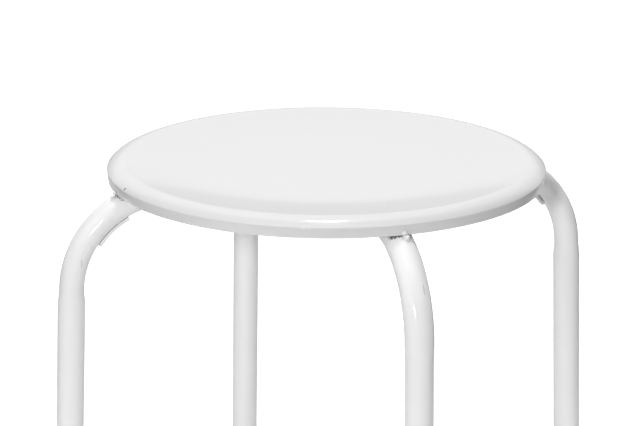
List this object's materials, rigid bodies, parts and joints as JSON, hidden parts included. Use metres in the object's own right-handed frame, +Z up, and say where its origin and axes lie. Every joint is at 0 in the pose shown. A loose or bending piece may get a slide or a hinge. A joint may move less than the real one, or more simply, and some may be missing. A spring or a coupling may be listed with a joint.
{
  "type": "metal stool",
  "caption": "Backless round metal stool with a shallow dished seat pan on two crossed bent-tube leg frames, with stacking pads and push-on feet.",
  "frame": {"origin": "on the floor, under the middle of the seat", "axes": "+Z up; the upper frame's legs stand on +X (right) and -X (left), the lower frame's on +Y (back) and -Y (front)"},
  "size_m": [0.4216, 0.4216, 0.45],
  "materials": {
    "seat_paint": "gloss",
    "frame_paint": "gloss",
    "weld_paint": "gloss",
    "pad_plastic": "satin",
    "foot_plastic": "satin"
  },
  "bodies": {
    "root": {"seat_pan": "seat_paint", "upper_frame": "frame_paint", "lower_frame": "frame_paint", "crossing_welds": "weld_paint", "rim_weld_right": "weld_paint", "rim_weld_back": "weld_paint", "rim_weld_left": "weld_paint", "rim_weld_front": "weld_paint", "stacking_pad_right": "pad_plastic", "stacking_pad_left": "pad_plastic", "foot_right": "foot_plastic", "foot_back": "foot_plastic", "foot_left": "foot_plastic", "foot_front": "foot_plastic"}
  },
  "joints": []
}
